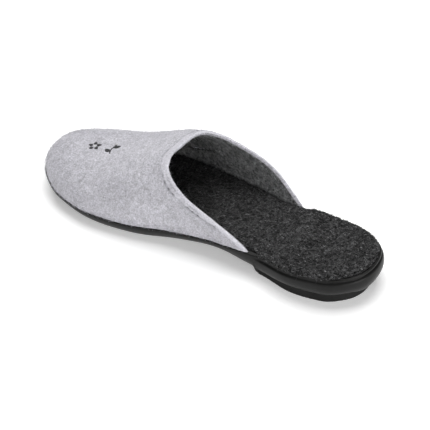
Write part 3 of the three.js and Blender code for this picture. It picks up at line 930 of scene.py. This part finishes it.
def build_motif():
    at = on_top()
    rng = np.random.default_rng(5)
    dark, pale = [], []
    c = np.array(FLOWER)
    for k in range(5):
        a = 2 * math.pi * k / 5 + 0.35
        u, v = np.array([math.cos(a), math.sin(a)]), np.array([-math.sin(a), math.cos(a)])
        for w in np.linspace(-1, 1, 10):
            half = 1.45 * w
            start = c + u * (1.45 + 0.1 * rng.normal()) + v * half * 0.35
            end = c + u * (5.0 + 0.35 * rng.normal() - 1.7 * w * w) + v * half
            dark.append((start, end))
    for w in np.linspace(-0.55, 0.55, 4):
        pale.append((c + (w, -0.6), c + (w, 0.6)))
    for w in np.linspace(-0.4, 0.4, 3):
        pale.append((c + (-0.65, w), c + (0.65, w)))
    # the sprig: a bent stem of back stitches, two leaves and a bud
    q = np.array(SPRIG)
    stem = [q + (-6.0 + 2.2 * i, 1.1 * math.sin(i * 0.9) + 0.5 * i - 1.2) for i in range(6)]
    for a, b in zip(stem[:-1], stem[1:]):
        for off in (-0.22, 0.22):
            dark.append((a + (0, off), b + (0.25, off)))
    for root, lean, length in ((stem[1], 1.15, 6.2), (stem[3], -1.0, 6.0)):
        u = np.array([math.cos(lean), math.sin(lean)])
        v = np.array([-u[1], u[0]])
        for i in range(12):
            f = (i + 0.6) / 12.4
            half = 1.6 * math.sin(math.pi * f ** 0.8) + 0.15
            mid = root + u * length * f * 0.8
            for sgn in (-1, 1):
                dark.append((mid - v * sgn * 0.08, mid + u * 1.0 + v * sgn * half))
    bud = stem[-1] + (0.5, 0.0)
    for w in np.linspace(-0.5, 0.5, 4):
        pale.append((bud + (-0.5, w), bud + (0.7, w * 0.8)))
    out = []
    for name, lines, mat in (("motif_dark", dark, M_DARK), ("motif_pale", pale, M_PALE)):
        v, f = laid_threads(at, lines, 0.2)
        out.append(make(name, v, f, [mat]))
    return out


M_DARK, M_PALE = thread("dark_thread", (0.035, 0.035, 0.038), 0.5), thread("pale_thread", (0.86, 0.86, 0.86), 0.5)
for o in build_motif():
    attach(o, "root")


# ---- sole ------------------------------------------------------------------
def rim_width(at):
    return lerp(RIM_HEEL, RIM_FORE, smooth((at - 0.17) / 0.09))


def heelness(at):
    return 1 - smooth((at - 0.26) / 0.09)


def step_z(at):
    """Height of the wall's lower edge: the heel's step, and further forward a lip over the bevel."""
    return np.where(at <= BREAST_LOW + 1e-6, band_z(at), edge_z(at) + 0.5)


def ring_solid(name, rings, angles, mats, across=24, dull_from=99, disturb=None):
    """Rings round the outline, joined and capped across. Each ring gives inset and z(y)."""
    loops = []
    for ring in rings:
        inset, z = ring(at_of(angles))
        sides = []
        for side in (-1, 1):
            x, y = rim_point(side, angles, inset)
            sides.append(np.stack([x, y, z(np.clip(y / LENGTH, 0, 1))], -1))
        loops.append(np.concatenate([sides[0], sides[1][-2:0:-1]]))
    n = len(loops[0])
    V = [np.concatenate(loops)]
    idx = np.arange(len(rings) * n).reshape(len(rings), n)
    idx = np.concatenate([idx, idx[:, :1]], 1)
    F = [grid_faces(idx, True)]
    base = len(rings) * n
    m = len(angles)
    for which, k in ((0, 0), (1, len(rings) - 1)):
        loop = loops[k]
        left = loop[:m]
        right = np.concatenate([loop[:1], loop[m:][::-1], loop[m - 1:m]])
        t = np.linspace(0, 1, across + 1)
        g = left[:, None] * (1 - t)[None, :, None] + right[:, None] * t[None, :, None]
        if disturb and which in disturb:
            g[1:-1, 1:-1, 2] += disturb[which](g[1:-1, 1:-1])
        gi = np.arange(g.shape[0] * g.shape[1]).reshape(g.shape[:2]) + base
        V.append(g.reshape(-1, 3))
        F.append(grid_faces(gi, which == 1))
        base += gi.size
    V2, F2, first = weld(np.concatenate(V), np.concatenate(F), 1.5e-3)
    # faces from the ledge down, and the whole of the last cap, take the second material
    low = np.zeros(base, bool)
    low[:len(rings) * n] = np.repeat(np.arange(len(rings)) >= dull_from, n)
    low[len(rings) * n + (across + 1) * m:] = True
    low = low[first]
    which = np.concatenate([low[f].all(1) for f in F2]).astype(int)
    return make(name, V2, F2, mats, mat_index=which)


def sole_angles(n=260):
    a = np.linspace(0, 1, n)
    at = at_of(a)
    extra = angle_of(np.array([BREAST_LOW - 0.002, BREAST_LOW, BREAST_LOW + 0.003, BREAST_TOP - 0.004, BREAST_TOP, BREAST_TOP + 0.004]))
    return np.unique(np.concatenate([a, extra]))


def groove_share(at):
    """The groove under the rim's bead runs round the heel and fades where the felt begins."""
    return 1 - smooth((at - 0.25) / 0.05)


def tucked(at):
    """How far the bead is drawn in under the insole's soft edge, along the heel's sides."""
    return 1.0 * smooth((at - 0.03) / 0.05) * (1 - smooth((at - 0.262) / 0.04))


def build_sole():
    def top(inset, dz):
        def ring(at):
            i = inset(at) if callable(inset) else np.full_like(at, inset)
            return i, (lambda y: rim_z(y) + dz)
        return ring

    def wall(down):
        def ring(at):
            bulge = lerp(BULGE_BACK, BULGE_SIDE, smooth(at / 0.14))
            step = lerp(STEP_BACK, STEP_SIDE, smooth(at / 0.025))
            heel = step * down ** 3 - bulge * math.sin(math.pi * down)
            below = 0.7 + down * (rim_z(at) - 0.7 - step_z(at))      # under the rim's top, mm
            groove = 1.15 * np.exp(-((below - 2.15) / 0.55) ** 2) * groove_share(at)
            bead = tucked(at) * (1 - smooth((below - 1.2) / 1.1))
            inset = lerp(0.88 * BEVEL * down ** 1.75, heel, heelness(at)) + groove + bead
            return inset, (lambda y, at=at: lerp(rim_z(y) - 0.7, step_z(at), down))
        return ring

    def band(inset, part, drop=0.0):
        """part: 0 at the step's ledge, 1 at the bevel's lower edge."""
        def ring(at):
            return (np.full_like(at, inset),
                    lambda y, at=at: lerp(step_z(at) - 0.25, edge_z(at), part) - drop)
        return ring

    rings = [
        top(lambda at: rim_width(at) + 0.15, -TRAY),
        top(lambda at: rim_width(at), -TRAY + 0.3),
        top(lambda at: rim_width(at), -0.5),
        top(lambda at: np.maximum(rim_width(at) - 0.18, 1.0 + tucked(at)), -0.12),
        top(lambda at: np.maximum(rim_width(at) - 0.5, 0.95 + tucked(at)), 0.0),
        top(lambda at: np.minimum(1.45, rim_width(at) - 0.75) + 0.7 * tucked(at), -0.05),
        top(lambda at: np.minimum(1.2, rim_width(at) - 0.9) + 0.8 * tucked(at), -0.3),
        top(lambda at: np.minimum(0.95, rim_width(at) - 1.1) + 0.9 * tucked(at), -0.05),
        top(lambda at: 0.72 + tucked(at), 0.02),
        top(lambda at: 0.35 + tucked(at), -0.1),
        top(lambda at: 0.1 + tucked(at), -0.35),
    ] + [wall(d) for d in (0.0, 0.025, 0.05, 0.075, 0.1, 0.125, 0.155, 0.19, 0.24, 0.31, 0.4, 0.5,
                           0.6, 0.7, 0.79, 0.87, 0.93, 0.97, 1.0)] + [
        lambda at: (lerp(wall(1.0)(at)[0], BEVEL - 0.15, 0.3), lambda y, at=at: step_z(at) - 0.14),
        band(BEVEL - 0.3, 0.0),
        band(BEVEL - 0.12, 0.06),
        band(BEVEL - 0.03, 0.2),
        band(BEVEL, 0.5),
        band(BEVEL, 0.93),
        lambda at: (np.full_like(at, BEVEL + 0.12), lambda y, at=at: edge_z(at)),
        lambda at: (np.full_like(at, 9.5), lambda y, at=at: np.where(at <= BREAST_LOW + 1e-6, 0.0, mid_z(np.where(at > 0.9, y, at)))),
    ]

    def tread(p):
        """Shallow wavy cross grooves in the two treads, fading at their ends."""
        at = p[..., 1] / LENGTH
        zone = smooth((at - 0.04) / 0.02) * (1 - smooth((at - 0.265) / 0.015)) \
            + smooth((at - 0.565) / 0.03) * (1 - smooth((at - 0.93) / 0.03))
        wave = np.sin(2 * math.pi * (p[..., 1] + 2.2 * np.sin(2 * math.pi * p[..., 0] / 14.0)) / 5.6)
        return 0.9 * zone * smooth((wave - 0.25) / 0.35)
    return ring_solid("sole_unit", rings, sole_angles(), [M_SOLE, M_TREAD], across=40, dull_from=30, disturb={1: tread})


sole = build_sole()
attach(sole, "root")
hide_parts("sole")


# ---- insole ----------------------------------------------------------------
def insole_reach(at, side):
    """How far inside the rim outline the insole's soft edge ends: it spills over the rim at
    the open heel, and stays inside the upper's wall further forward."""
    start = 0.268 if side < 0 else 0.240
    spill = lerp(2.0, 0.75, smooth((at - 0.02) / 0.07))
    return lerp(spill, rim_width(at) + GAP + 0.1, smooth((at - start) / 0.04))


def build_insole(nu=500, nv=124):
    """A thick curly felt plate: curled pile on top, a soft ragged edge, drawn in at the tray."""
    angles = np.linspace(0, 1, nu + 1)
    t = np.linspace(-1, 1, nv + 1)
    sides = {}
    for side in (-1, 1):
        x, y = rim_point(side, angles, insole_reach(at_of(angles), side))
        sides[side] = np.stack([x, y], -1)
    w = (t + 1) / 2
    xy = sides[-1][:, None] * (1 - w)[None, :, None] + sides[1][:, None] * w[None, :, None]
    loop = np.concatenate([sides[-1], sides[1][-2:0:-1]])
    loop3 = np.concatenate([np.concatenate([loop, loop[:1]]), np.zeros((len(loop) + 1, 1))], 1)
    P = np.concatenate([xy, np.zeros(xy.shape[:2] + (1,))], -1)
    d, _ = nearest_on(loop3, P.reshape(-1, 3))
    d = d.reshape(xy.shape[:2])
    y01 = np.clip(xy[..., 1] / LENGTH, 0, 1)
    dome = 2.3 - 2.3 * np.sqrt(np.clip(1 - np.clip(1 - d / 2.3, 0, 1) ** 2, 0, 1))
    P[..., 2] = rim_z(y01) + INSOLE_PROUD + 0.15 - dome - 0.3 * smooth(d / 14)
    warp = np.stack([vnoise(P, 3.1, 91), vnoise(P, 3.1, 92), 0 * d], -1)
    q = P + 1.3 * warp
    curl = 1 - 2.6 * np.abs(vnoise(q, 2.3, 67))          # looped locks, 2 mm across
    fine = 1 - 2.4 * np.abs(vnoise(q, 1.35, 71))
    lump = 0.5 * curl + 0.38 * fine + 0.4 * vnoise(P, 7.0, 73)
    P[..., 2] += 0.62 * lump
    # the locks at the edge stand out unevenly
    near = np.clip(1 - d / 3.0, 0, 1) ** 1.3
    for side, cols in ((-1, w < 0.5), (1, w >= 0.5)):
        open_heel = 1 - smooth((at_of(angles) - (0.262 if side < 0 else 0.234)) / 0.04)
        x0, y0 = rim_point(side, angles, 0.0)
        x1, y1 = rim_point(side, angles, -1.0)
        nrm = np.stack([x1 - x0, y1 - y0], -1)[:, None, :]
        q = P[:, cols]
        shag = 1.35 if side > 0 else 1.0
        jit = shag * (0.95 * (1 - 2.6 * np.abs(vnoise(q, 2.9, 95))) + 0.45 * vnoise(q, 1.3, 96)) - 0.1
        q[..., :2] += nrm * (jit * near[:, cols] * open_heel[:, None])[..., None]
        q[..., 2] += (0.45 * vnoise(q, 2.6, 97) + (shag - 1) * 1.7 * vnoise(q, 3.4, 98)) * near[:, cols]
        P[:, cols] = q
    P[0], P[-1] = P[0].mean(0), P[-1].mean(0)
    out = np.concatenate([P[:, 0], P[-2:0:-1, -1]])
    a_loop = np.concatenate([angles, angles[-2:0:-1]])
    s_loop = np.concatenate([np.full(nu + 1, -1), np.full(nu - 1, 1)])

    def ring(share, z, k):
        """share: 0 at the soft edge's outline, 1 at the tray wall."""
        pts, nrm = np.zeros((len(a_loop), 3)), np.zeros((len(a_loop), 3))
        for side in (-1, 1):
            m = s_loop == side
            at = at_of(a_loop[m])
            ins = lerp(insole_reach(at, side), rim_width(at) + GAP + 0.1, share)
            pts[m, 0], pts[m, 1] = rim_point(side, a_loop[m], ins)
            x0, y0 = rim_point(side, a_loop[m], 0.0)
            x1, y1 = rim_point(side, a_loop[m], -1.0)
            nrm[m, 0], nrm[m, 1] = x1 - x0, y1 - y0
        pts[:, 2] = rim_z(np.clip(pts[:, 1] / LENGTH, 0, 1)) + z
        jit = 0.55 * (1 - 2.4 * np.abs(vnoise(pts, 2.4, 90))) + 0.4 * vnoise(pts, 1.3, 93)
        return pts + nrm * (jit * k)[:, None]
    rows = [out] + [ring(*r) for r in (
        (-0.12, INSOLE_PROUD - 1.1, 0.9), (-0.25, INSOLE_PROUD - 1.65, 1.0),
        (-0.2, INSOLE_PROUD - 2.1, 0.9), (0.1, INSOLE_PROUD - 2.35, 0.5), (0.6, 0.28, 0.2),
        (1.0, 0.2, 0.0), (1.0, -1.2, 0.0), (1.0, GAP - TRAY + 0.1, 0.0), (2.2, GAP - TRAY, 0.0))]
    V = [P.reshape(-1, 3)]
    idx = np.arange(P.shape[0] * P.shape[1]).reshape(P.shape[:2])
    F = [grid_faces(idx, True)]
    base = idx.size
    ring_idx = []
    for r in rows:
        ring_idx.append(np.arange(len(r)) + base)
        V.append(r)
        base += len(r)
    R = np.stack(ring_idx)
    R = np.concatenate([R, R[:, :1]], 1)
    F.append(grid_faces(R, True))
    last = rows[-1]
    m = nu + 1
    left, right = last[:m], np.concatenate([last[:1], last[m:][::-1], last[m - 1:m]])
    tt = np.linspace(0, 1, 9)
    g = left[:, None] * (1 - tt)[None, :, None] + right[:, None] * tt[None, :, None]
    gi = np.arange(g.shape[0] * g.shape[1]).reshape(g.shape[:2]) + base
    V.append(g.reshape(-1, 3))
    F.append(grid_faces(gi, False))
    V = np.concatenate(V)
    peak = np.zeros(len(V))
    peak[:idx.size] = np.clip(0.62 * curl + 0.55 * fine - 0.25, -1, 1).reshape(-1)
    V2, F2, first = weld(V, np.concatenate(F), 1e-3)
    return make("insole_felt", V2, F2, [M_INSOLE], attrs={"peak": peak[first]}), P, d


insole, INSOLE_TOP, INSOLE_EDGE = build_insole()
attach(insole, "root")
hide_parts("insole")


# ---- loose fibres ----------------------------------------------------------
def insole_fibres(n=6200):
    """Short curled wool ends standing in the insole's pile, most of them near its edge."""
    rng = np.random.default_rng(11)
    nu, nv = INSOLE_TOP.shape[:2]
    flat, dist = INSOLE_TOP.reshape(-1, 3), INSOLE_EDGE.reshape(-1)
    # cells are smaller at the ends, so weigh by the width there, and by how far it shows
    width = np.abs(INSOLE_TOP[:, -1, 0] - INSOLE_TOP[:, 0, 0])
    step = np.maximum(np.gradient(INSOLE_TOP[:, nv // 2, 1]), 0)
    weight = np.repeat((width * step)[:, None], nv, 1).reshape(-1)
    weight *= np.where(flat[:, 1] < 0.66 * LENGTH, 1.0, 0.12) * (1 + 1.6 * np.exp(-dist / 1.6))
    pick = rng.choice(len(flat), n, p=weight / weight.sum())
    root = flat[pick] + rng.normal(0, 0.25, (n, 3)) * (1, 1, 0)
    centre = np.stack([np.zeros(n), np.clip(root[:, 1], 30, LENGTH - 30), root[:, 2]], -1)
    outward = root - centre
    outward[:, 2] = 0
    outward /= np.maximum(np.linalg.norm(outward, axis=1, keepdims=True), 1e-6)
    near = np.exp(-dist[pick] / 1.5)[:, None]
    a = rng.uniform(0, 2 * math.pi, n)
    flat_dir = np.stack([np.cos(a), np.sin(a), 0 * a], -1)
    lift = rng.uniform(0.15, 0.75, (n, 1))
    direction = flat_dir * (1 - 0.6 * near) + outward * near * 0.9 + np.array([0, 0, 1.0]) * lift * (1 - 0.45 * near)
    bend = rng.normal(0, 0.75, (n, 3)) - np.array([0, 0, 0.55])
    length = rng.uniform(0.9, 2.1, n)
    return spindles(root - direction * 0.25, direction, bend, length, rng.uniform(0.05, 0.085, n), 4)


def upper_fibres(n=6000):
    """Loose wool on the felt's face, along the collar's edge and over the sole's rim."""
    rng = np.random.default_rng(23)
    roots, dirs, bends, lengths = [], [], [], []
    for side in (-1, 1):
        for kind, m in (("face", int(n * 0.22)), ("edge", int(n * 0.17)), ("foot", int(n * 0.15))):
            if kind == "face":
                turn = np.arcsin(rng.uniform(0.02, 1, m) ** 0.8) * 0.98
                start = angle_of(COLLAR_AT[side](np.degrees(turn)))
                angle = start + (0.985 - start) * rng.uniform(0.01, 1, m)
            elif kind == "edge":
                turn = smooth(rng.uniform(0.02, 0.99, m)) * math.pi / 2
                start = angle_of(COLLAR_AT[side](np.degrees(turn)))
                angle = start + (1 - start) * rng.uniform(0.0, 0.02, m)
            else:
                turn = rng.uniform(0.0, 0.045, m)
                start = angle_of(COLLAR_AT[side](np.degrees(turn)))
                angle = start + (1 - start) * rng.uniform(0.01, 1, m)
            p, nrm = skin(side, angle, turn), skin_normal(side, angle, turn)
            r = rng.normal(0, 1, (m, 3))
            flat = r - (r * nrm).sum(1, keepdims=True) * nrm
            flat /= np.linalg.norm(flat, axis=1, keepdims=True)
            if kind == "face":
                dirs.append(flat + nrm * rng.uniform(0.05, 0.28, (m, 1)))
                roots.append(p + nrm * 0.02)
                lengths.append(rng.uniform(1.0, 2.6, m))
            elif kind == "edge":
                e = 1e-3
                back = skin(side, angle, turn) - skin(side, angle + e, turn)
                back /= np.linalg.norm(back, axis=1, keepdims=True)
                dirs.append(back * rng.uniform(0.2, 1.0, (m, 1)) + flat * 0.7 + nrm * rng.uniform(-0.2, 0.5, (m, 1)))
                roots.append(p - nrm * rng.uniform(0.3, 1.8, (m, 1)) - back * 0.5)
                lengths.append(rng.uniform(0.8, 2.3, m))
            else:
                dirs.append(flat * 0.6 + nrm * rng.uniform(0.15, 0.5, (m, 1)) - np.array([0, 0, 1.0]) * rng.uniform(0.3, 1.0, (m, 1)))
                roots.append(p + nrm * 0.15)
                lengths.append(rng.uniform(0.7, 1.5, m))
            bends.append(rng.normal(0, 0.45, (m, 3)) - nrm * 0.25)
    roots, dirs, bends = np.concatenate(roots), np.concatenate(dirs), np.concatenate(bends)
    lengths = np.concatenate(lengths)
    return spindles(roots, dirs, bends, lengths, rng.uniform(0.04, 0.07, len(roots)), 4)


M_CURL = plain_fibre("charcoal_fibre", (0.05, 0.05, 0.051), (0.15, 0.15, 0.153))
M_WOOL = plain_fibre("grey_fibre", (0.42, 0.415, 0.45), (0.66, 0.655, 0.70))
for name, (fv, ff), mat, slot_name in (("insole_loose_fibres", insole_fibres(), M_CURL, "charcoal_felt"),
                                       ("upper_loose_fibres", upper_fibres(), M_WOOL, "grey_felt")):
    o = make(name, fv, ff, [mat])
    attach(o, "root")

# ---- stage, light, camera --------------------------------------------------
k = Mat("floor")
k.b.inputs["Base Color"].default_value = (0.93, 0.93, 0.93, 1)
k.b.inputs["Roughness"].default_value = 0.9
tone = k.noise(3, 2, 0.5)
k.link(k.ramp(tone, [(0.0, (0.925, 0.925, 0.925)), (1.0, (0.935, 0.935, 0.935))]), k.b.inputs["Base Color"])
# painted light: the floor glows, less near the shoe and more further out, and so lights the shoe from below
k.b.inputs["Emission Color"].default_value = (1, 1, 1, 1)
far = k.t.nodes.new("ShaderNodeVectorMath")
far.operation = "LENGTH"
k.link(k.co, far.inputs[0])
k.link(k.span(far.outputs["Value"], 0.35, 1.7, 0.30, 0.95), k.b.inputs["Emission Strength"])
me = bpy.data.meshes.new("floor")
me.from_pydata([(-6, -6, 0), (6, -6, 0), (6, 6, 0), (-6, 6, 0)], [], [(0, 1, 2, 3)])
me.materials.append(k.m)
floor = bpy.data.objects.new("floor", me)
bpy.context.scene.collection.objects.link(floor)

world = bpy.data.worlds.new("studio")
bpy.context.scene.world = world
world.use_nodes = True
bg = world.node_tree.nodes["Background"]
bg.inputs[0].default_value = (1.0, 1.0, 1.0, 1)
bg.inputs[1].default_value = 0.13


def area(name, loc, target, size, power, colour=(1, 1, 1)):
    l = bpy.data.lights.new(name, "AREA")
    l.shape = "RECTANGLE"
    l.size, l.size_y = size
    l.energy = power
    l.color = colour
    o = bpy.data.objects.new(name, l)
    o.location = loc
    d = Vector(target) - Vector(loc)
    o.rotation_euler = d.to_track_quat("-Z", "Y").to_euler()
    bpy.context.scene.collection.objects.link(o)
    return o


area("softbox_top", (0.45, 0.3, 1.45), (0, 0, 0), (1.4, 1.4), 26.0)
area("softbox_left", (-1.3, -0.2, 0.8), (0, 0, 0.02), (1.1, 0.7), 4.5)
area("softbox_heel", (-0.25, -1.45, 0.30), (0, -0.1, 0.01), (0.8, 0.30), 10.5)

AZ, EL, ROLL, DIST, FOCAL = math.radians(-57.458), math.radians(39.785), math.radians(-0.546), 1.500, 2282.0
aim = (np.array([-13.936, 112.347, 25.0]) - CENTRE) / 1000
back = np.array([math.sin(AZ) * math.cos(EL), -math.cos(AZ) * math.cos(EL), math.sin(EL)])
right = np.cross(-back, [0, 0, 1.0])
right /= np.linalg.norm(right)
up = np.cross(right, -back)
right2 = math.cos(ROLL) * right + math.sin(ROLL) * up
up2 = -math.sin(ROLL) * right + math.cos(ROLL) * up
cam = bpy.data.cameras.new("camera")
cam.sensor_fit = "HORIZONTAL"
cam.sensor_width = 36.0
cam.lens = 36.0 * FOCAL / 430.0
cam.clip_start = 0.05
cam.clip_end = 50
cam_obj = bpy.data.objects.new("camera", cam)
m = Matrix.Identity(4)
for i, c in enumerate((right2, up2, back)):
    for r in range(3):
        m[r][i] = c[r]
for r in range(3):
    m[r][3] = aim[r] + back[r] * DIST
cam_obj.matrix_world = m
bpy.context.scene.collection.objects.link(cam_obj)
bpy.context.scene.camera = cam_obj
bpy.context.scene.view_settings.view_transform = "Standard"
